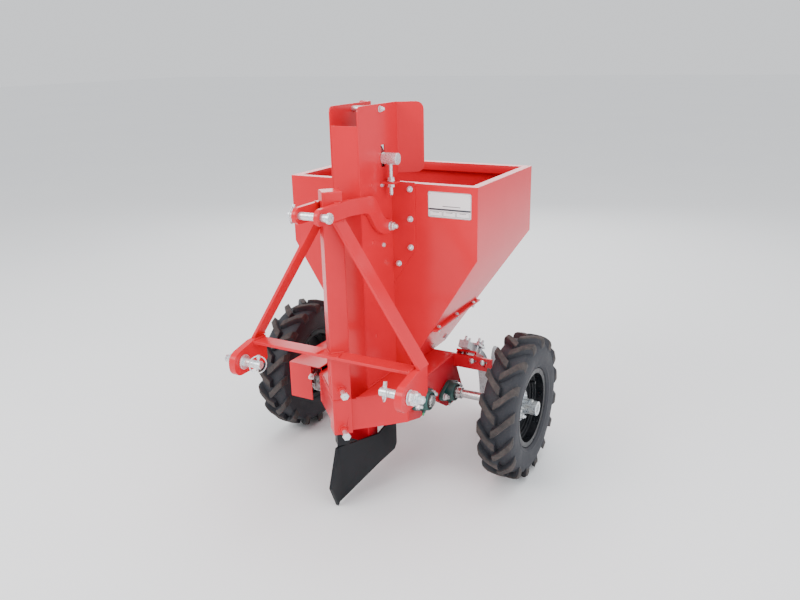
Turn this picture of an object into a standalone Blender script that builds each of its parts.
"""Single-row, three-point-mounted seed potato planter with a cup-belt elevator.

Metres, +Z up.  +X is the machine's left-to-right axis, -Y points to the tractor,
Z = 0 is the ground under the tyres.  Every fore-and-aft place below is measured
from the land-wheel axle; AXLE_Y moves the whole machine so that the origin is at
the middle of its footprint.
"""
import bpy
import bmesh
from math import acos, atan2, cos, hypot, pi, radians, sin, sqrt
from mathutils import Matrix, Vector
from mathutils.geometry import interpolate_bezier

# ---------------------------------------------------------------- driving sizes
AXLE_Y = 0.0720          # axle, from the middle of the footprint
AXLE_Z = 0.205
GAP = 0.0003             # between pieces that touch

# land wheels: 4.00-8 lug tyres
WHEEL_X = 0.3655
TYRE_R = 0.205
TYRE_HALF = 0.050
BEAD_R = 0.1015
RIM_FLANGE_R = 0.112
RIM_HALF = 0.040
AXLE_R = 0.0125
AXLE_END = 0.4150
HUB_TUBE_R = 0.020
HUB_FLANGE_R = 0.045

# hopper
SHEET = 0.003
HOPPER_HALF = 0.286
HOPPER_FRONT = -0.1255
HOPPER_BACK = 0.2732
HOPPER_TOP = 0.838
HOPPER_KNEE = 0.648
HOPPER_FOOT = 0.307
HOPPER_FOOT_HALF = 0.073
HOPPER_FOOT_BACK = 0.1265
HOPPER_FLOOR_FRONT = 0.030
HOPPER_LIP = 0.024

# elevator housing
PANEL_X = 0.041          # outer face of the side panels
PANEL_FRONT = -0.285
PANEL_TOP = 1.042
PANEL_FOOT = 0.213
PANEL_BEND = -0.089
CHANNEL_TOP = 0.996
CHANNEL_FOOT = 0.144
FLANGE_X = 0.110
FLANGE_TOP = 0.841
FLANGE_CORNER = 0.663
FLANGE_TIP = 0.562
EAR_LENGTH = 0.072
EAR_ANGLE = radians(32)
EAR_FOOT = 0.857
SLOT_HALF = 0.0385       # mouth between hopper and housing

# elevator
SHAFT_A = -0.169         # both elevator shafts, from the axle
LOWER_Z = 0.249
UPPER_Z = 0.906
LOWER_R = 0.010
UPPER_R = 0.008
BELT_R = 0.034           # middle of the belt round its pulleys
BELT_T = 0.003
BELT_HALF = 0.025
CUP_COUNT = 18
CUP_R = 0.023
CUP_FOOT_R = 0.016
CUP_H = 0.024
CUP_SINK = 0.0028        # the cup's rim is let into the belt
BOOT_R = 0.085

# ground drive
CHAIN_X = -0.1945
CHAIN_PITCH = 0.0127
DRIVE_TEETH = 24
DRIVEN_TEETH = 18
CHAIN_HALF = 0.007
CHAIN_DEPTH = 0.005      # half the height of the link plates

# base frame
BASE_HALF = 0.140
BASE_TOP = 0.3067
BASE_FRONT = -0.243
BASE_REAR = 0.048
PLATE = 0.004
VEE_FOOT = 0.213

# mast and three-point hitch
POST_A = -0.3575
POST_SIDE = 0.050
POST_BORE = 0.034
POST_TOP = 0.852
POST_FOOT = 0.3085
SLEEVE_FOOT = 0.209
SET_BOLTS = (0.336, 0.222)
TOP_PIN = (-0.449, 0.805)
TOP_PIN_R = 0.0095
LINK_IN = 0.025
LINK_T = 0.012
LINK_HALF = 0.020
LINK_JOG = 0.0168
LINK_STEP = (-0.325, -0.284)     # where the plates step out round the housing
LINK_BOLT = (-0.161, 0.7285)
EAR_PLATE_IN = 0.236
EAR_PLATE_OUT = 0.256
LOW_PIN = (-0.450, 0.398)
LOW_PIN_R = 0.011
BAR_T = 0.008
CROSS_FRONT = -0.409
CROSS_BACK = -0.367
CROSS_TOP = 0.4415
BRACE_FRONT = -0.391
BRACE_BACK = -0.345
BRACE_TOP_X = 0.0307
BRACE_FOOT_X = 0.2561

# opener
SHANK = 0.032
SHANK_TOP = 0.440
WING_T = 0.005
NOSE_A = -0.385
CREASE = (0.060, -0.269)
WING_REAR = (0.062, -0.172)
WING_TOP = 0.168
WING_REAR_TOP = 0.188
WING_FOOT = 0.080

# rear bar and covering discs
TOOLBAR_HALF = 0.262
TOOLBAR_TOP = 0.3045
TOOLBAR_H = 0.040
TOOLBAR_T = 0.008
ARM_X = 0.175
ARM_HALF = 0.015
ARM_DEPTH = 0.022
ARM_SLOPE = radians(33)
DISC_R = 0.130
DISC_Z = 0.136
DISC_TOE = radians(30)
DISC_OFFSET = 0.050

ROUND = 16               # facets of a plain round piece


# ---------------------------------------------------------------- scene set-up
for old in list(bpy.data.objects):
    bpy.data.objects.remove(old, do_unlink=True)

PARTS = bpy.data.collections.new("potato_planter")
CUTTERS = bpy.data.collections.new("cutters")
bpy.context.scene.collection.children.link(PARTS)
bpy.context.scene.collection.children.link(CUTTERS)


def material(name, colour, roughness, metallic=0.0):
    mat = bpy.data.materials.new(name)
    mat.use_nodes = True
    shader = mat.node_tree.nodes["Principled BSDF"]
    shader.inputs["Base Color"].default_value = (*colour, 1.0)
    shader.inputs["Roughness"].default_value = roughness
    shader.inputs["Metallic"].default_value = metallic
    return mat


RED = material("red_powder_coat", (0.62, 0.02, 0.025), 0.30)
BLACK = material("black_paint", (0.02, 0.02, 0.022), 0.40)
ZINC = material("zinc_plate", (0.72, 0.73, 0.75), 0.30, 1.0)
STEEL = material("bright_steel", (0.55, 0.55, 0.56), 0.35, 1.0)
RUBBER = material("tyre_rubber", (0.05, 0.045, 0.042), 0.85)
GREEN = material("green_casting", (0.01, 0.08, 0.07), 0.45)
BELTING = material("belt_rubber", (0.03, 0.03, 0.03), 0.75)


# ---------------------------------------------------------------- building tools
def at(x, a, z):
    """World place of a point given from the axle line."""
    return Vector((x, a + AXLE_Y, z))


def adopt(obj, name, mat):
    """Name an object, give it its material and file it with the parts."""
    obj.name = name
    obj.data.name = name
    obj.data.materials.clear()
    obj.data.materials.append(mat)
    for home in list(obj.users_collection):
        home.objects.unlink(obj)
    PARTS.objects.link(obj)
    return obj


def as_cutter(obj):
    obj.hide_render = True
    obj.display_type = "WIRE"
    for home in list(obj.users_collection):
        home.objects.unlink(obj)
    CUTTERS.objects.link(obj)
    return obj


def combine(obj, tool, operation):
    """Join a tool to an object, or cut it away, with a Boolean modifier."""
    as_cutter(tool)
    mod = obj.modifiers.new(operation.lower(), "BOOLEAN")
    mod.operation = operation
    mod.solver = "EXACT"
    mod.object = tool
    return obj


def mesh_object(name, bm):
    mesh = bpy.data.meshes.new(name)
    bm.to_mesh(mesh)
    bm.free()
    obj = bpy.data.objects.new(name, mesh)
    bpy.context.scene.collection.objects.link(obj)
    return obj


def box(low, high):
    """A box between two corners given from the axle line."""
    bpy.ops.mesh.primitive_cube_add(size=1)
    obj = bpy.context.object
    size = Vector(high) - Vector(low)
    middle = (Vector(high) + Vector(low)) / 2
    obj.data.transform(Matrix.Diagonal((*size, 1.0)))
    obj.location = at(*middle)
    return obj


def rod(radius, start, end, sides=ROUND):
    """A cylinder between two points given from the axle line."""
    start, end = at(*start), at(*end)
    run = end - start
    bpy.ops.mesh.primitive_cylinder_add(vertices=sides, radius=radius, depth=run.length)
    obj = bpy.context.object
    turn = run.to_track_quat("Z", "Y").to_matrix().to_4x4()
    obj.data.transform(turn)
    obj.location = (start + end) / 2
    return obj


def outline_mesh(loops, depth):
    """A flat outline in local XY, extruded along Z by its depth, as a mesh."""
    curve = bpy.data.curves.new("outline", "CURVE")
    curve.dimensions = "2D"
    curve.fill_mode = "BOTH"
    curve.extrude = depth / 2
    for loop in loops:
        spline = curve.splines.new("POLY")
        spline.points.add(len(loop) - 1)
        for point, (u, v) in zip(spline.points, loop):
            point.co = (u, v, 0.0, 1.0)
        spline.use_cyclic_u = True
    source = bpy.data.objects.new("outline", curve)
    bpy.context.scene.collection.objects.link(source)
    graph = bpy.context.evaluated_depsgraph_get()
    mesh = bpy.data.meshes.new_from_object(source.evaluated_get(graph))
    bpy.data.objects.remove(source, do_unlink=True)
    bpy.data.curves.remove(curve)
    bm = bmesh.new()
    bm.from_mesh(mesh)
    bmesh.ops.remove_doubles(bm, verts=bm.verts, dist=0.00001)
    bmesh.ops.recalc_face_normals(bm, faces=bm.faces)
    bm.to_mesh(mesh)
    bm.free()
    return mesh


def plate_yz(loops, x_low, x_high):
    """A plate whose outline is drawn in (from-axle, height)."""
    mesh = outline_mesh(loops, x_high - x_low)
    mesh.transform(Matrix(((0, 0, 1, 0), (1, 0, 0, 0), (0, 1, 0, 0), (0, 0, 0, 1))))
    obj = bpy.data.objects.new("plate", mesh)
    bpy.context.scene.collection.objects.link(obj)
    obj.location = at((x_low + x_high) / 2, 0, 0)
    return obj


def plate_xz(loops, a_low, a_high):
    """A plate whose outline is drawn in (across, height)."""
    mesh = outline_mesh(loops, a_high - a_low)
    mesh.transform(Matrix.Rotation(radians(90), 4, "X"))
    obj = bpy.data.objects.new("plate", mesh)
    bpy.context.scene.collection.objects.link(obj)
    obj.location = at(0, (a_low + a_high) / 2, 0)
    return obj


def plate_xy(loops, z_low, z_high):
    """A plate or straight profile whose outline is drawn in (across, from-axle)."""
    mesh = outline_mesh(loops, z_high - z_low)
    obj = bpy.data.objects.new("plate", mesh)
    bpy.context.scene.collection.objects.link(obj)
    obj.location = at(0, 0, (z_low + z_high) / 2)
    return obj


def turned_x(profile, sides=ROUND):
    """A turned piece about the X axis; the profile is a closed loop of (x, radius)."""
    bm = bmesh.new()
    verts = [bm.verts.new((r, 0.0, x)) for x, r in profile]
    for first, second in zip(verts, verts[1:] + verts[:1]):
        bm.edges.new((first, second))
    obj = mesh_object("turned", bm)
    screw = obj.modifiers.new("turn", "SCREW")
    screw.axis = "Z"
    screw.steps = sides
    screw.render_steps = sides
    screw.use_merge_vertices = True
    screw.merge_threshold = 0.00005
    screw.use_normal_calculate = True
    graph = bpy.context.evaluated_depsgraph_get()
    mesh = bpy.data.meshes.new_from_object(obj.evaluated_get(graph))
    bpy.data.objects.remove(obj, do_unlink=True)
    bm = bmesh.new()
    bm.from_mesh(mesh)
    bmesh.ops.remove_doubles(bm, verts=bm.verts, dist=0.00001)
    bmesh.ops.recalc_face_normals(bm, faces=bm.faces)
    bm.to_mesh(mesh)
    bm.free()
    mesh.transform(Matrix.Rotation(radians(90), 4, "Y"))
    result = bpy.data.objects.new("turned", mesh)
    bpy.context.scene.collection.objects.link(result)
    return result


def arc(centre, radius, start, end, count):
    """Points on an arc, angles in degrees, both ends included."""
    cu, cv = centre
    turns = [radians(start + (end - start) * i / count) for i in range(count + 1)]
    return [(cu + radius * cos(t), cv + radius * sin(t)) for t in turns]


def bezier(start, handle_1, handle_2, end, count):
    """Points on a cubic curve in the plane, both ends included."""
    ends = [Vector((*p, 0.0)) for p in (start, handle_1, handle_2, end)]
    return [(p.x, p.y) for p in interpolate_bezier(*ends, count + 1)]


def wrap(centre_1, radius_1, centre_2, radius_2, count):
    """The outline of a band stretched round two circles."""
    du, dv = centre_2[0] - centre_1[0], centre_2[1] - centre_1[1]
    heading = atan2(dv, du)
    lean = acos((radius_1 - radius_2) / hypot(du, dv))
    points = []
    for centre, radius, first, last in (
            (centre_1, radius_1, heading + lean, heading + 2 * pi - lean),
            (centre_2, radius_2, heading - lean, heading + lean)):
        for i in range(count + 1):
            t = first + (last - first) * i / count
            points.append((centre[0] + radius * cos(t), centre[1] + radius * sin(t)))
    return points


def math_angle(du, dv):
    """Direction of a vector in degrees, from 0 to 360."""
    return (atan2(dv, du) * 180 / pi) % 360


def score(mesh, square, places):
    """Divide a mesh's faces where planes square to a direction cross it."""
    bm = bmesh.new()
    bm.from_mesh(mesh)
    for place in places:
        bmesh.ops.bisect_plane(bm, geom=bm.verts[:] + bm.edges[:] + bm.faces[:],
                               plane_co=Vector(square) * place, plane_no=square)
    bm.to_mesh(mesh)
    bm.free()


def mirrored(obj, name, mat):
    """The same piece on the other side of the machine."""
    graph = bpy.context.evaluated_depsgraph_get()
    mesh = bpy.data.meshes.new_from_object(obj.evaluated_get(graph))
    mesh.transform(Matrix.Diagonal((-1, 1, 1, 1)) @ obj.matrix_world)
    mesh.flip_normals()
    twin = bpy.data.objects.new(name, mesh)
    bpy.context.scene.collection.objects.link(twin)
    return adopt(twin, name, mat)


def pair(obj, piece, mat):
    """Name a right-hand piece and add its left-hand twin."""
    adopt(obj, "right_" + piece, mat)
    bpy.context.view_layer.update()
    return obj, mirrored(obj, "left_" + piece, mat)


def diamond(side, grow=0.0):
    """Cross-section of a square tube set corner forward, centred on the mast."""
    reach = side / sqrt(2) + grow * sqrt(2)
    return [(0, POST_A - reach), (reach, POST_A), (0, POST_A + reach), (-reach, POST_A)]


def axis_empty(name, place):
    empty = bpy.data.objects.new(name, None)
    empty.empty_display_size = 0.05
    empty.location = place
    PARTS.objects.link(empty)
    return empty


def hang(children, parent):
    """Parent pieces to an axis without moving them."""
    bpy.context.view_layer.update()
    for child in children:
        child.parent = parent
        child.matrix_parent_inverse = parent.matrix_world.inverted()


# ---------------------------------------------------------------- hopper
def make_hopper():
    """Folded sheet hopper with a turned-in rim, open to the housing in front."""
    bm = bmesh.new()
    bmesh.ops.create_cube(bm, size=1)
    middle = (HOPPER_FRONT + HOPPER_BACK) / 2
    scale = (2 * HOPPER_HALF, HOPPER_BACK - HOPPER_FRONT, HOPPER_TOP - HOPPER_FOOT)
    bmesh.ops.scale(bm, verts=bm.verts, vec=scale)
    bmesh.ops.translate(bm, verts=bm.verts, vec=(0, middle, (HOPPER_TOP + HOPPER_FOOT) / 2))
    bmesh.ops.bisect_plane(bm, geom=bm.verts[:] + bm.edges[:] + bm.faces[:],
                           plane_co=(0, 0, HOPPER_KNEE), plane_no=(0, 0, 1))
    for vert in bm.verts:
        if vert.co.z < HOPPER_FOOT + 0.001:
            vert.co.x = HOPPER_FOOT_HALF if vert.co.x > 0 else -HOPPER_FOOT_HALF
            if vert.co.y > middle:
                vert.co.y = HOPPER_FOOT_BACK
    top = [f for f in bm.faces if f.calc_center_median().z > HOPPER_TOP - 0.001]
    bmesh.ops.delete(bm, geom=top, context="FACES_ONLY")
    floor = [f for f in bm.faces if f.calc_center_median().z < HOPPER_FOOT + 0.001]
    floor_geom = floor + list(floor[0].verts) + list(floor[0].edges)
    bmesh.ops.bisect_plane(bm, geom=floor_geom, plane_co=(0, HOPPER_FLOOR_FRONT, 0),
                           plane_no=(0, 1, 0))
    open_part = [f for f in bm.faces if f.calc_center_median().z < HOPPER_FOOT + 0.001
                 and f.calc_center_median().y < HOPPER_FLOOR_FRONT]
    bmesh.ops.delete(bm, geom=open_part, context="FACES_ONLY")
    rim = [e for e in bm.edges if e.is_boundary and all(v.co.z > HOPPER_TOP - 0.001 for v in e.verts)]
    lip = bmesh.ops.extrude_edge_only(bm, edges=rim)["geom"]
    for vert in (g for g in lip if isinstance(g, bmesh.types.BMVert)):
        vert.co.x -= HOPPER_LIP if vert.co.x > 0 else -HOPPER_LIP
        vert.co.y -= HOPPER_LIP if vert.co.y > middle else -HOPPER_LIP
    bmesh.ops.recalc_face_normals(bm, faces=bm.faces)
    hopper = mesh_object("hopper_shell", bm)
    hopper.location = at(0, 0, 0)
    shell = hopper.modifiers.new("sheet", "SOLIDIFY")
    shell.thickness = SHEET
    shell.offset = -1
    shell.use_even_offset = True
    mouth = box((-SLOT_HALF, HOPPER_FRONT - 0.02, HOPPER_FOOT - 0.02),
                (SLOT_HALF, HOPPER_FRONT + HOPPER_LIP + 0.012, HOPPER_TOP + 0.02))
    combine(hopper, mouth, "DIFFERENCE")
    adopt(hopper, "hopper_shell", RED)


# ---------------------------------------------------------------- elevator housing
def make_front_channel():
    inner = PANEL_X - SHEET - GAP
    back = PANEL_FRONT + 0.050
    section = [(-inner, back), (-inner, PANEL_FRONT), (inner, PANEL_FRONT), (inner, back),
               (inner - SHEET, back), (inner - SHEET, PANEL_FRONT + SHEET),
               (-inner + SHEET, PANEL_FRONT + SHEET), (-inner + SHEET, back)]
    adopt(plate_xy([section], CHANNEL_FOOT, CHANNEL_TOP), "elevator_front_channel", RED)


def make_side_panels():
    """Web with a round boot, a bolted flange on the hopper and a flared ear above it."""
    corner = 0.014
    flange_back = HOPPER_FRONT - GAP
    boot_start = PANEL_FRONT + 0.0525
    boot_angle = math_angle(boot_start - SHAFT_A, PANEL_FOOT - LOWER_Z)
    web = [(PANEL_FRONT, PANEL_FOOT)]
    web += [(boot_start, PANEL_FOOT)]
    web += arc((SHAFT_A, LOWER_Z), BOOT_R + 0.004, boot_angle, 360, 12)
    web += [(flange_back, LOWER_Z + 0.030), (flange_back, FLANGE_TOP + 0.003)]
    web += [(PANEL_BEND, EAR_FOOT), (PANEL_BEND, PANEL_TOP)]
    web += arc((PANEL_FRONT + corner, PANEL_TOP - corner), corner, 90, 180, 4)
    panel = plate_yz([web], PANEL_X - SHEET, PANEL_X)
    flange = [(PANEL_X - 0.001, FLANGE_TOP), (PANEL_X - 0.001, FLANGE_TIP), (PANEL_X, FLANGE_TIP),
              (FLANGE_X, FLANGE_CORNER), (FLANGE_X, FLANGE_TOP)]
    combine(panel, plate_xz([flange], flange_back - SHEET, flange_back), "UNION")
    radius = 0.020
    ear_top = PANEL_TOP - 0.0008
    ear = [(0, EAR_FOOT + 0.001)]
    ear += arc((EAR_LENGTH - radius, EAR_FOOT + 0.001 + radius), radius, 270, 360, 4)
    ear += arc((EAR_LENGTH - radius, ear_top - radius), radius, 0, 90, 4)
    ear += [(0, ear_top)]
    flare = plate_xz([ear], 0, SHEET)
    flare.data.transform(Matrix.Translation((0, SHEET / 2, 0)))
    flare.data.transform(Matrix.Rotation(EAR_ANGLE, 4, "Z"))
    flare.location = at(PANEL_X - SHEET * 0.55, PANEL_BEND - SHEET * 0.75, 0)
    combine(panel, flare, "UNION")
    slot = box((0, SHAFT_A - 0.0095, UPPER_Z - 0.022), (0.1, SHAFT_A + 0.0095, UPPER_Z + 0.034))
    combine(panel, slot, "DIFFERENCE")
    combine(panel, rod(LOWER_R + 0.002, (0, SHAFT_A, LOWER_Z), (0.1, SHAFT_A, LOWER_Z)), "DIFFERENCE")
    pair(panel, "side_panel", RED)


def make_divider():
    """Folded plate between the rising and the falling run of the belt."""
    half = PANEL_X - SHEET - GAP
    front = SHAFT_A - 0.0105
    back = front + 0.020
    wall = 0.0025
    section = [(-half, front), (half, front), (half, back), (half - wall, back),
               (half - wall, front + wall), (-half + wall, front + wall), (-half + wall, back),
               (-half, back)]
    adopt(plate_xy([section], 0.330, 0.850), "divider_plate", RED)


def make_boot():
    """Pan under the lower pulley and the chute that feeds it from the hopper."""
    half = PANEL_X - SHEET - GAP
    pan = arc((SHAFT_A, LOWER_Z), BOOT_R, 222, 352, 10)
    pan += arc((SHAFT_A, LOWER_Z), BOOT_R + 0.002, 352, 222, 10)
    adopt(plate_yz([pan], -half, half), "boot_pan", RED)
    high, low = (0.026, 0.3015), (-0.081, 0.2560)
    chute = [high, low, (low[0], low[1] - 0.002), (high[0], high[1] - 0.002)]
    adopt(plate_yz([chute], -half, half), "seed_chute", RED)


# ---------------------------------------------------------------- elevator
def belt_place(distance):
    """Point and heading on the belt's middle line, in (from-axle, height)."""
    run = UPPER_Z - LOWER_Z
    bend = pi * BELT_R
    distance %= 2 * (run + bend)
    if distance < run:
        return (SHAFT_A + BELT_R, LOWER_Z + distance), pi / 2
    distance -= run
    if distance < bend:
        t = distance / BELT_R
        return (SHAFT_A + BELT_R * cos(t), UPPER_Z + BELT_R * sin(t)), pi / 2 + t
    distance -= bend
    if distance < run:
        return (SHAFT_A - BELT_R, UPPER_Z - distance), -pi / 2
    t = (distance - run) / BELT_R
    return (SHAFT_A - BELT_R * cos(t), LOWER_Z - BELT_R * sin(t)), -pi / 2 + t


def make_cup_belt():
    """Endless belt with its cups riveted on, as one body."""
    low, high = (SHAFT_A, LOWER_Z), (SHAFT_A, UPPER_Z)
    outer = wrap(low, BELT_R + BELT_T / 2, high, BELT_R + BELT_T / 2, 10)
    inner = wrap(low, BELT_R - BELT_T / 2, high, BELT_R - BELT_T / 2, 10)
    belt = plate_yz([outer, inner], -BELT_HALF, BELT_HALF)
    wall = 0.0025
    profile = [(0, 0.0005), (0, CUP_FOOT_R), (CUP_H, CUP_R), (CUP_H, CUP_R - wall),
               (wall, CUP_FOOT_R - wall), (wall, 0.0005)]
    shape = turned_x(profile, 8)
    length = 2 * (UPPER_Z - LOWER_Z) + 2 * pi * BELT_R
    bm = bmesh.new()
    for i in range(CUP_COUNT):
        (a, z), heading = belt_place((i + 0.5) * length / CUP_COUNT)
        out = heading - pi / 2
        reach = BELT_T / 2 + CUP_R - CUP_SINK
        along = Vector((0, cos(heading), sin(heading)))
        centre = Vector((0, a + reach * cos(out), z + reach * sin(out))) - along * CUP_H / 2
        turn = along.to_track_quat("X", "Z").to_matrix().to_4x4()
        copy = shape.data.copy()
        copy.transform(Matrix.Translation(centre) @ turn)
        bm.from_mesh(copy)
        bpy.data.meshes.remove(copy)
    bpy.data.objects.remove(shape, do_unlink=True)
    cups = mesh_object("cups", bm)
    cups.location = at(0, 0, 0)
    combine(belt, cups, "UNION")
    adopt(belt, "cup_belt", BELTING)


def pulley(radius, half, bore):
    return turned_x([(-half, radius), (half, radius), (half, bore), (-half, bore)])


def make_elevator_shafts():
    lower = adopt(rod(LOWER_R, (-0.215, SHAFT_A, LOWER_Z), (0.180, SHAFT_A, LOWER_Z)),
                  "lower_shaft", STEEL)
    upper = adopt(rod(UPPER_R, (-0.080, SHAFT_A, UPPER_Z), (0.080, SHAFT_A, UPPER_Z)),
                  "upper_shaft", STEEL)
    free = BELT_R - BELT_T / 2 - 0.0010
    low_pulley = adopt(pulley(free, BELT_HALF + 0.001, LOWER_R + GAP), "lower_belt_pulley", ZINC)
    low_pulley.location = at(0, SHAFT_A, LOWER_Z)
    top_pulley = adopt(pulley(free, BELT_HALF + 0.001, UPPER_R + GAP), "upper_belt_pulley", ZINC)
    top_pulley.location = at(0, SHAFT_A, UPPER_Z)
    sprocket = adopt(make_sprocket(DRIVEN_TEETH, LOWER_R), "driven_sprocket", STEEL)
    sprocket.location = at(CHAIN_X, SHAFT_A, LOWER_Z)
    hang([lower, low_pulley, sprocket], axis_empty("lower_shaft_axis", at(0, SHAFT_A, LOWER_Z)))
    hang([upper, top_pulley], axis_empty("upper_shaft_axis", at(0, SHAFT_A, UPPER_Z)))


def make_tensioners():
    """Eye bolts that carry the upper shaft, and the lugs that they pull on."""
    eye_x = (PANEL_X + 0.0005, 0.085)
    eye = rod(0.015, (eye_x[0], SHAFT_A, UPPER_Z), (eye_x[1], SHAFT_A, UPPER_Z))
    middle = 0.063
    combine(eye, rod(0.005, (middle, SHAFT_A, 0.815), (middle, SHAFT_A, UPPER_Z - 0.010), 8), "UNION")
    bore = rod(UPPER_R + GAP, (0, SHAFT_A, UPPER_Z), (0.0805, SHAFT_A, UPPER_Z))
    combine(eye, bore, "DIFFERENCE")
    eyes = pair(eye, "tensioner_eye", ZINC)
    lug = box((PANEL_X + GAP, SHAFT_A - 0.017, 0.843), (0.080, SHAFT_A + 0.017, 0.848))
    hole = rod(0.0057, (middle, SHAFT_A, 0.83), (middle, SHAFT_A, 0.86), 8)
    combine(lug, hole, "DIFFERENCE")
    pair(lug, "tensioner_lug", RED)
    hang(eyes, axis_empty("tensioner_slide", at(0, SHAFT_A, UPPER_Z)))


# ---------------------------------------------------------------- ground drive
def make_sprocket(teeth, bore):
    """Blank of a chain sprocket with its boss, turned to just inside the chain."""
    reach = teeth * CHAIN_PITCH / (2 * pi) - CHAIN_DEPTH - 0.0010
    face = 0.0035
    boss_end = 0.016
    boss = bore + 0.009
    profile = [(-face, reach), (face, reach), (face, boss), (boss_end, boss),
               (boss_end, bore + GAP), (-face, bore + GAP)]
    return turned_x(profile)


def make_chain():
    drive = DRIVE_TEETH * CHAIN_PITCH / (2 * pi)
    driven = DRIVEN_TEETH * CHAIN_PITCH / (2 * pi)
    low, high = (0.0, AXLE_Z), (SHAFT_A, LOWER_Z)
    outer = wrap(low, drive + CHAIN_DEPTH, high, driven + CHAIN_DEPTH, 12)
    inner = wrap(low, drive - CHAIN_DEPTH, high, driven - CHAIN_DEPTH, 12)
    chain = plate_yz([outer, inner], CHAIN_X - CHAIN_HALF, CHAIN_X + CHAIN_HALF)
    adopt(chain, "drive_chain", STEEL)


def make_bearings():
    """Two-bolt flange bearings outside the side plates, for the axle and the lower shaft."""
    reach, end_r, body_r = 0.045, 0.013, 0.031
    base, nose = 0.012, 0.032
    for piece, a, z, bore in (("axle_bearing", 0.0, AXLE_Z, AXLE_R),
                              ("lower_shaft_bearing", SHAFT_A, LOWER_Z, LOWER_R)):
        lean = math_angle(body_r - end_r, sqrt(reach ** 2 - (body_r - end_r) ** 2))
        flange = arc((a + reach, z), end_r, -lean, lean, 4)
        flange += arc((a, z), body_r, lean, 180 - lean, 4)
        flange += arc((a - reach, z), end_r, 180 - lean, 180 + lean, 4)
        flange += arc((a, z), body_r, 180 + lean, 360 - lean, 4)
        start = BASE_HALF + GAP
        housing = plate_yz([flange], start, start + base)
        combine(housing, rod(0.026, (start + base / 2, a, z), (start + nose, a, z)), "UNION")
        combine(housing, rod(bore + GAP, (start - 0.01, a, z), (start + nose + 0.01, a, z)),
                "DIFFERENCE")
        pair(housing, piece, GREEN)


def make_chain_guard():
    """Folded cover over the chain: top, front, outer side and a bolted inner flange."""
    outer, inner = -0.245, -BASE_HALF - GAP
    front, back = -0.248, 0.045
    top = 0.320
    guard = box((outer, front, top - SHEET), (inner, back, top))
    combine(guard, box((outer, front, VEE_FOOT), (-0.170, front + SHEET, top - 0.001)), "UNION")
    combine(guard, box((outer, front + 0.001, VEE_FOOT), (outer + SHEET, back, top - 0.001)), "UNION")
    combine(guard, box((inner - SHEET, front + 0.010, 0.283), (inner, back, top - 0.001)), "UNION")
    combine(guard, box((outer - 0.01, -0.020, VEE_FOOT - 0.01), (outer + 0.01, 0.020, 0.230)), "DIFFERENCE")
    adopt(guard, "chain_guard", RED)


# ---------------------------------------------------------------- wheels
def make_wheels():
    tread = [(-0.0355, BEAD_R + GAP), (-0.0358, 0.1128), (-0.0420, 0.1155),
             (-0.0480, 0.1350), (-TYRE_HALF, 0.1560), (-0.0480, 0.1780), (-0.0430, 0.1960),
             (-0.0250, 0.2035), (0.0, TYRE_R)]
    hollow = [(-0.0290, BEAD_R + GAP), (-0.0400, 0.1400), (-0.0410, 0.1620), (-0.0340, 0.1860),
              (0.0, 0.1920)]
    profile = tread + [(-x, r) for x, r in reversed(tread[:-1])]
    profile += [(-x, r) for x, r in hollow] + [(x, r) for x, r in reversed(hollow[:-1])]
    tyre = turned_x(profile, 24)
    tyre.location = at(WHEEL_X, 0, AXLE_Z)
    tyres = pair(tyre, "tyre", RUBBER)

    seat, wall, well = 0.0360, 0.003, 0.088
    half_rim = [(-RIM_HALF, BEAD_R - wall), (-RIM_HALF, RIM_FLANGE_R), (-seat - 0.0005, RIM_FLANGE_R),
                (-seat - 0.0005, BEAD_R), (-0.012, BEAD_R), (-0.009, well)]
    inside = [(0.0145, BEAD_R - wall), (0.0115, well - wall), (0.002, well - wall), (0.002, 0.030)]
    profile = half_rim + [(-x, r) for x, r in reversed(half_rim)]
    profile += inside + [(-x, r) for x, r in reversed(inside)]
    rim = turned_x(profile, 24)
    rim.location = at(WHEEL_X, 0, AXLE_Z)
    rims = pair(rim, "rim", BLACK)

    face = WHEEL_X + 0.002 + GAP
    bore = AXLE_R + GAP
    hub = turned_x([(face, HUB_FLANGE_R), (face + 0.006, HUB_FLANGE_R), (face + 0.006, HUB_TUBE_R),
                    (0.421, HUB_TUBE_R), (0.421, bore), (face, bore)])
    hub.location = at(0, 0, AXLE_Z)
    hubs = pair(hub, "hub", ZINC)

    axle = adopt(rod(AXLE_R, (-AXLE_END, 0, AXLE_Z), (AXLE_END, 0, AXLE_Z)), "axle", STEEL)
    sprocket = adopt(make_sprocket(DRIVE_TEETH, AXLE_R), "drive_sprocket", STEEL)
    sprocket.location = at(CHAIN_X, 0, AXLE_Z)
    moving = [*tyres, *rims, *hubs, axle, sprocket]
    hang(moving, axis_empty("axle_axis", at(0, 0, AXLE_Z)))


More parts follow.
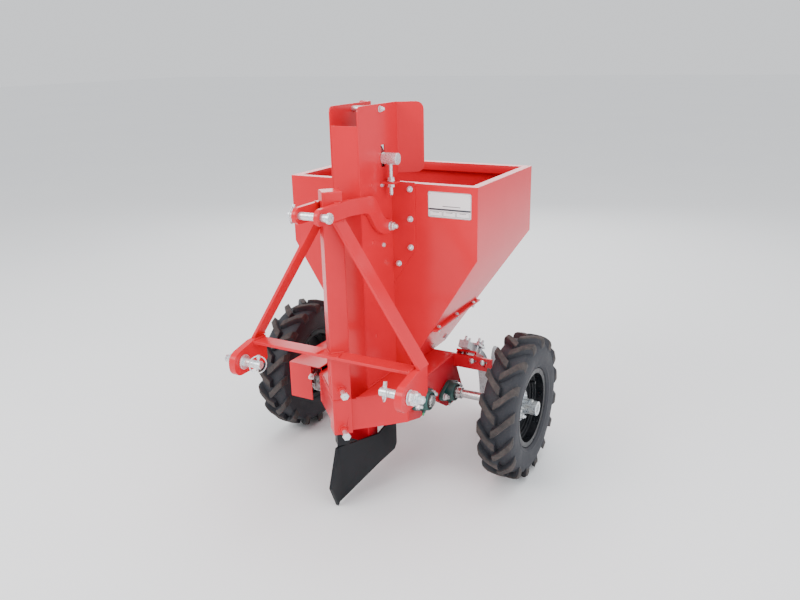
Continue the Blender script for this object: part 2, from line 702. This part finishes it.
# ---------------------------------------------------------------- base frame
def make_base():
    slot = PANEL_X + 0.0008
    nose = BASE_FRONT - (BASE_HALF - slot) * 0.964
    top = [(BASE_HALF, BASE_REAR), (-BASE_HALF, BASE_REAR), (-BASE_HALF, BASE_FRONT),
           (-slot, nose), (-slot, HOPPER_FLOOR_FRONT), (slot, HOPPER_FLOOR_FRONT), (slot, nose),
           (BASE_HALF, BASE_FRONT)]
    adopt(plate_xy([top], BASE_TOP - PLATE, BASE_TOP), "base_top_plate", RED)

    under = BASE_TOP - PLATE - GAP
    side = [(BASE_FRONT, under), (BASE_FRONT, VEE_FOOT), (-0.175, 0.193), (-0.077, 0.202),
            (-0.003, 0.153), (0.042, 0.147), (0.112, 0.172), (0.071, 0.255), (0.0505, under)]
    plate = plate_yz([side], BASE_HALF - PLATE, BASE_HALF)
    combine(plate, rod(AXLE_R + 0.003, (0.1, 0, AXLE_Z), (0.2, 0, AXLE_Z)), "DIFFERENCE")
    combine(plate, rod(LOWER_R + 0.003, (0.1, SHAFT_A, LOWER_Z), (0.2, SHAFT_A, LOWER_Z)), "DIFFERENCE")
    notch = box((0.1, BASE_REAR - 0.0002, TOOLBAR_TOP - TOOLBAR_H - 0.0005),
                (0.2, BASE_REAR + TOOLBAR_T + 0.0006, TOOLBAR_TOP + 0.01))
    combine(plate, notch, "DIFFERENCE")
    pair(plate, "base_side_plate", RED)

    start = Vector((0.0303, -0.3516))
    end = Vector((BASE_HALF, BASE_FRONT - 0.0034))
    along = (end - start).normalized()
    inward = Vector((-along.y, along.x)) * PLATE
    section = [tuple(start), tuple(end), tuple(end + inward), tuple(start + inward)]
    pair(plate_xy([section], VEE_FOOT, under), "vee_plate", RED)


def make_toolbar():
    """Slotted flat bar across the back of the base frame."""
    front = BASE_REAR + 0.0003
    bar = box((-TOOLBAR_HALF, front, TOOLBAR_TOP - TOOLBAR_H), (TOOLBAR_HALF, front + TOOLBAR_T, TOOLBAR_TOP))
    for side in (-1, 1):
        for x in (0.202, 0.236):
            slot = box((side * x - 0.010, front - 0.01, 0.287), (side * x + 0.010, front + 0.02, 0.295))
            combine(bar, slot, "DIFFERENCE")
    adopt(bar, "rear_toolbar", RED)


# ---------------------------------------------------------------- mast and hitch
def make_mast():
    post = plate_xy([diamond(POST_SIDE)], POST_FOOT, POST_TOP)
    combine(post, plate_xy([diamond(POST_BORE)], POST_FOOT - 0.01, 0.700), "DIFFERENCE")
    for side in (-1, 1):
        near, far = side * (LINK_IN - GAP), side * 0.060
        notch = box((min(near, far), -0.410, TOP_PIN[1] - LINK_HALF - GAP),
                    (max(near, far), -0.300, TOP_PIN[1] + LINK_HALF + GAP))
        combine(post, notch, "DIFFERENCE")
    combine(post, bolt_line(SET_BOLTS[0], 0.0066, 0.0, 0.060), "DIFFERENCE")
    adopt(post, "mast_post", RED)
    sleeve = plate_xy([diamond(POST_SIDE)], SLEEVE_FOOT, POST_FOOT - GAP)
    combine(sleeve, plate_xy([diamond(POST_BORE)], SLEEVE_FOOT - 0.01, POST_FOOT + 0.01), "DIFFERENCE")
    combine(sleeve, bolt_line(SET_BOLTS[1], 0.0066, 0.0, 0.060), "DIFFERENCE")
    adopt(sleeve, "opener_sleeve", RED)
    upper = bolt_line(SET_BOLTS[0], 0.006, SHANK / 2 + GAP, 0.068)
    combine(upper, bolt_line(SET_BOLTS[0], 0.0105, POST_SIDE / 2 + GAP, 0.036, 6), "UNION")
    adopt(upper, "upper_set_bolt", ZINC)
    hang([upper], axis_empty("upper_bolt_slide", at(0, POST_A, SET_BOLTS[0])))
    lower = bolt_line(SET_BOLTS[1], 0.006, SHANK / 2 + GAP, 0.068)
    combine(lower, bolt_line(SET_BOLTS[1], 0.0105, POST_SIDE / 2 + GAP, 0.036, 6), "UNION")
    adopt(lower, "lower_set_bolt", ZINC)
    hang([lower], axis_empty("lower_bolt_slide", at(0, POST_A, SET_BOLTS[1])))


def bolt_line(z, radius, start, end, sides=16):
    """A round piece square to the right-front face of the mast."""
    way = Vector((1, -1, 0)).normalized()
    first = Vector((0, POST_A, z)) + way * start
    last = Vector((0, POST_A, z)) + way * end
    return rod(radius, first, last, sides)


def make_link_plates():
    """Top-link plates: straight beside the mast, stepped out and bent down to the housing."""
    pin_a, pin_z = TOP_PIN
    bolt_a, bolt_z = LINK_BOLT
    top, foot = pin_z + LINK_HALF, pin_z - LINK_HALF
    end_r = 0.0185
    outline = arc((pin_a, pin_z), LINK_HALF, 90, 270, 10)
    outline += [(LINK_STEP[0], foot), (-0.300, foot)]
    outline += bezier((LINK_STEP[1], foot), (-0.250, foot), (-0.245, 0.712),
                      (bolt_a - 0.012, bolt_z - end_r), 8)
    outline += arc(LINK_BOLT, end_r, 270, 450, 8)
    outline += bezier((bolt_a - 0.006, bolt_z + end_r), (-0.215, 0.752), (-0.205, top),
                      (-0.262, top), 8)
    outline += [(-0.300, top), (LINK_STEP[0], top)]
    plate = plate_yz([outline], LINK_IN, LINK_IN + LINK_T)
    score(plate.data, (0, 1, 0), LINK_STEP)
    step_front, step_back = LINK_STEP
    for vert in plate.data.vertices:
        share = (vert.co.y - step_front) / (step_back - step_front)
        vert.co.x += LINK_JOG * min(max(share, 0.0), 1.0)
    hole = rod(TOP_PIN_R + GAP, (0, pin_a, pin_z), (0.1, pin_a, pin_z))
    combine(plate, hole, "DIFFERENCE")
    pair(plate, "top_link_plate", RED)


def make_braces():
    """Flat bars from the top-link plates down to the lower hitch ears."""
    slant = BAR_T / cos(atan2(BRACE_FOOT_X - BRACE_TOP_X, 0.343))
    high = TOP_PIN[1] - LINK_HALF - GAP
    low = CROSS_TOP + GAP
    section = [(BRACE_TOP_X, high), (BRACE_TOP_X - slant, high), (BRACE_FOOT_X - slant, low),
               (BRACE_FOOT_X, low)]
    bar = plate_xz([section], BRACE_FRONT, BRACE_BACK)
    combine(bar, plate_xy([diamond(POST_SIDE, GAP)], 0.30, 0.90), "DIFFERENCE")
    pair(bar, "brace", RED)


def make_crossbar():
    half = EAR_PLATE_IN - GAP
    bar = box((-half, CROSS_FRONT, CROSS_TOP - BAR_T), (half, CROSS_BACK, CROSS_TOP))
    combine(bar, plate_xy([diamond(POST_SIDE, GAP)], 0.40, 0.46), "DIFFERENCE")
    adopt(bar, "crossbar", RED)


def make_hitch_ears():
    outline = [(-0.353, 0.374), (-0.353, CROSS_TOP), (-0.410, CROSS_TOP), (-0.462, 0.430)]
    outline += bezier((-0.466, 0.4290), (-0.482, 0.4230), (-0.487, 0.4130), (-0.487, 0.398), 4)
    outline += bezier((-0.487, 0.390), (-0.486, 0.376), (-0.476, 0.365), (-0.462, 0.364), 4)
    outline += [(-0.363, 0.364)]
    ear = plate_yz([outline], EAR_PLATE_IN, EAR_PLATE_OUT)
    pin_a, pin_z = LOW_PIN
    combine(ear, rod(LOW_PIN_R + GAP, (0.2, pin_a, pin_z), (0.3, pin_a, pin_z)), "DIFFERENCE")
    pair(ear, "hitch_ear", RED)


def make_pins():
    washer, nut = 0.020, 0.018
    inner, outer = EAR_PLATE_IN - GAP, EAR_PLATE_OUT + GAP
    pin = turned_x([(0.178, LOW_PIN_R - 0.002), (0.180, LOW_PIN_R), (inner - 0.005, LOW_PIN_R),
                    (inner - 0.005, washer), (inner, washer), (inner, LOW_PIN_R), (outer, LOW_PIN_R),
                    (outer, nut), (outer + 0.026, nut), (outer + 0.026, 0.0085), (0.298, 0.0085),
                    (0.298, 0.0005), (0.178, 0.0005)])
    pin.location = at(0, *LOW_PIN)
    pair(solid_core(pin), "hitch_pin", ZINC)
    head = LINK_IN + LINK_T + 0.001
    top = turned_x([(-0.056, TOP_PIN_R - 0.0015), (-0.0545, TOP_PIN_R), (head + 0.016, TOP_PIN_R),
                    (head + 0.016, 0.0125), (head + 0.023, 0.0125), (head + 0.023, 0.0005),
                    (-0.056, 0.0005)])
    top.location = at(0, *TOP_PIN)
    adopt(solid_core(top), "top_link_pin", ZINC)
    hang([top], axis_empty("top_pin_slide", at(0, *TOP_PIN)))


def solid_core(obj):
    """Close the hair-thin centre of a turned profile."""
    bm = bmesh.new()
    bm.from_mesh(obj.data)
    for vert in bm.verts:
        if hypot(vert.co.y, vert.co.z) < 0.0006:
            vert.co.y = 0.0
            vert.co.z = 0.0
    bmesh.ops.remove_doubles(bm, verts=bm.verts, dist=0.00001)
    loose = [e for e in bm.edges if not e.link_faces]
    bmesh.ops.delete(bm, geom=loose, context="EDGES")
    bm.to_mesh(obj.data)
    bm.free()
    return obj


# ---------------------------------------------------------------- opener
def make_opener():
    """Furrow opener: two swept wings, a cutting shin and the shank that holds them."""
    bm = bmesh.new()
    nose_top = bm.verts.new((0, NOSE_A, WING_TOP))
    nose_foot = bm.verts.new((0, NOSE_A, 0.004))
    faces = []
    for side in (1, -1):
        crease_top = bm.verts.new((side * CREASE[0], CREASE[1], WING_TOP + 0.001))
        crease_foot = bm.verts.new((side * CREASE[0], CREASE[1], WING_FOOT))
        rear_top = bm.verts.new((side * WING_REAR[0], WING_REAR[1], WING_REAR_TOP))
        rear_mid = bm.verts.new((side * WING_REAR[0], WING_REAR[1], WING_FOOT + 0.016))
        rear_foot = bm.verts.new((side * WING_REAR[0], WING_REAR[1] - 0.012, WING_FOOT + 0.002))
        faces.append(bm.faces.new((nose_top, nose_foot, crease_foot, crease_top)))
        faces.append(bm.faces.new((crease_top, crease_foot, rear_foot, rear_mid, rear_top)))
    bmesh.ops.recalc_face_normals(bm, faces=faces)
    bm.faces.ensure_lookup_table()
    if bm.faces[0].normal.x < 0:
        bmesh.ops.reverse_faces(bm, faces=bm.faces)
    wings = mesh_object("furrow_opener", bm)
    wings.location = at(0, 0, 0)
    sheet = wings.modifiers.new("sheet", "SOLIDIFY")
    sheet.thickness = WING_T
    sheet.offset = -1
    sheet.use_even_offset = True
    shank = plate_xy([diamond(SHANK)], WING_TOP + 0.004, SHANK_TOP)
    combine(wings, shank, "UNION")
    neck = box((-0.0045, NOSE_A + 0.011, 0.090), (0.0045, POST_A + 0.014, WING_TOP + 0.010))
    combine(wings, neck, "UNION")
    shin = [(NOSE_A + 0.006, WING_TOP), (NOSE_A - 0.002, WING_TOP), (-0.4255, 0.066),
            (-0.397, 0.0), (NOSE_A + 0.008, 0.020)]
    combine(wings, plate_yz([shin], -0.004, 0.004), "UNION")
    adopt(wings, "furrow_opener", BLACK)
    hang([wings], axis_empty("opener_slide", at(0, POST_A, SLEEVE_FOOT)))


# ---------------------------------------------------------------- covering discs
def arm_line():
    """Middle line of the disc arm in (from-axle, height)."""
    start = (0.040, 0.345)
    reach = 0.118
    knee = (start[0] + reach * cos(ARM_SLOPE), start[1] - reach * sin(ARM_SLOPE))
    return [start] + bezier(knee, (0.190, 0.245), (0.205, 0.200), (0.214, 0.110), 7)


def band(line, depth):
    """Outline of a bar of even depth along a middle line."""
    left, right = [], []
    for i, point in enumerate(line):
        before, after = line[max(i - 1, 0)], line[min(i + 1, len(line) - 1)]
        du, dv = after[0] - before[0], after[1] - before[1]
        size = hypot(du, dv)
        nu, nv = -dv / size * depth / 2, du / size * depth / 2
        left.append((point[0] + nu, point[1] + nv))
        right.append((point[0] - nu, point[1] - nv))
    return left + right[::-1]


def make_covering_discs():
    line = arm_line()
    arm = plate_yz([band(line, ARM_DEPTH)], ARM_X - ARM_HALF, ARM_X + ARM_HALF)
    normal = Vector((cos(DISC_TOE), sin(DISC_TOE), 0))
    root = Vector((ARM_X, 0.2115, DISC_Z))
    centre = root + normal * DISC_OFFSET
    combine(arm, rod(0.011, root - normal * 0.010, root + normal * (DISC_OFFSET + 0.020), 16), "UNION")
    arms = pair(arm, "disc_arm", ZINC)

    dish, wall, bore, boss = 0.024, 0.004, 0.0115, 0.030
    ring = [(DISC_R * t, dish * (1 - t * t)) for t in (0.25, 0.5, 0.75, 1.0)]
    profile = [(x, r) for r, x in ring]
    profile += [(x - wall, r) for r, x in reversed(ring[1:])]
    profile += [(0.008, boss), (0.008, bore), (dish + 0.012, bore), (dish + 0.012, boss)]
    disc = turned_x(profile, 24)
    disc.data.transform(Matrix.Rotation(DISC_TOE, 4, "Z"))
    disc.location = at(*(centre - normal * 0.012))
    discs = pair(disc, "covering_disc", STEEL)
    for side, label, arm_obj, disc_obj in zip((1, -1), ("right", "left"), arms, discs):
        hang([arm_obj], axis_empty(label + "_arm_slide", at(side * ARM_X, *line[0])))
        spin = axis_empty(label + "_disc_axis", at(side * centre.x, centre.y, centre.z))
        hang([disc_obj], spin)
        hang([spin], arm_obj)


def make_arm_clamps():
    """Bracket under each arm and the U-bolt clamp that grips the arm on it."""
    way = Vector((0, cos(ARM_SLOPE), -sin(ARM_SLOPE)))
    up = Vector((0, sin(ARM_SLOPE), cos(ARM_SLOPE)))
    start = Vector((ARM_X, 0.040, 0.345))
    seat = -ARM_DEPTH / 2 - GAP

    def slab(along, above, half):
        low, high = above
        corners = [start + way * along[0] + up * low, start + way * along[1] + up * low,
                   start + way * along[1] + up * high, start + way * along[0] + up * high]
        loop = [(c.y, c.z) for c in corners]
        return plate_yz([loop], ARM_X - half, ARM_X + half)

    bracket = slab((0.034, 0.100), (seat - 0.006, seat), 0.032)
    web = [(BASE_REAR + TOOLBAR_T + 0.0006, 0.268), (BASE_REAR + TOOLBAR_T + 0.0006, 0.3045),
           (0.0700, 0.3105), (0.1200, 0.2780), (0.1050, 0.268)]
    for x in (ARM_X - 0.029, ARM_X + 0.029):
        combine(bracket, plate_yz([web], x - 0.0025, x + 0.0025), "UNION")
    leg_x = ARM_HALF + 0.0065
    for distance in (0.062, 0.092):
        for side in (-1, 1):
            foot = start + way * distance + Vector((side * leg_x, 0, 0))
            combine(bracket, rod(0.0048, foot + up * (seat - 0.02), foot + up * (seat + 0.01), 8),
                    "DIFFERENCE")
    pair(bracket, "arm_bracket", RED)

    clamp = slab((0.050, 0.102), (ARM_DEPTH / 2 + GAP, ARM_DEPTH / 2 + GAP + 0.005), 0.030)
    for distance in (0.062, 0.092):
        for side in (-1, 1):
            foot = start + way * distance + Vector((side * leg_x, 0, 0))
            combine(clamp, rod(0.004, foot + up * (seat - 0.018), foot + up * 0.030, 8), "UNION")
        bend = slab((distance - 0.005, distance + 0.005), (seat - 0.0205, seat - 0.0125), leg_x + 0.005)
        combine(clamp, bend, "UNION")
    pair(clamp, "arm_clamp", ZINC)


make_hopper()
make_front_channel()
make_side_panels()
make_divider()
make_boot()
make_cup_belt()
make_elevator_shafts()
make_tensioners()
make_chain()
make_bearings()
make_chain_guard()
make_wheels()
make_base()
make_toolbar()
make_mast()
make_link_plates()
make_braces()
make_crossbar()
make_hitch_ears()
make_pins()
make_opener()
make_covering_discs()
make_arm_clamps()

for part in PARTS.objects:
    if part.type == "MESH":
        part.data.shade_smooth()
        part.data.set_sharp_from_angle(angle=radians(35))
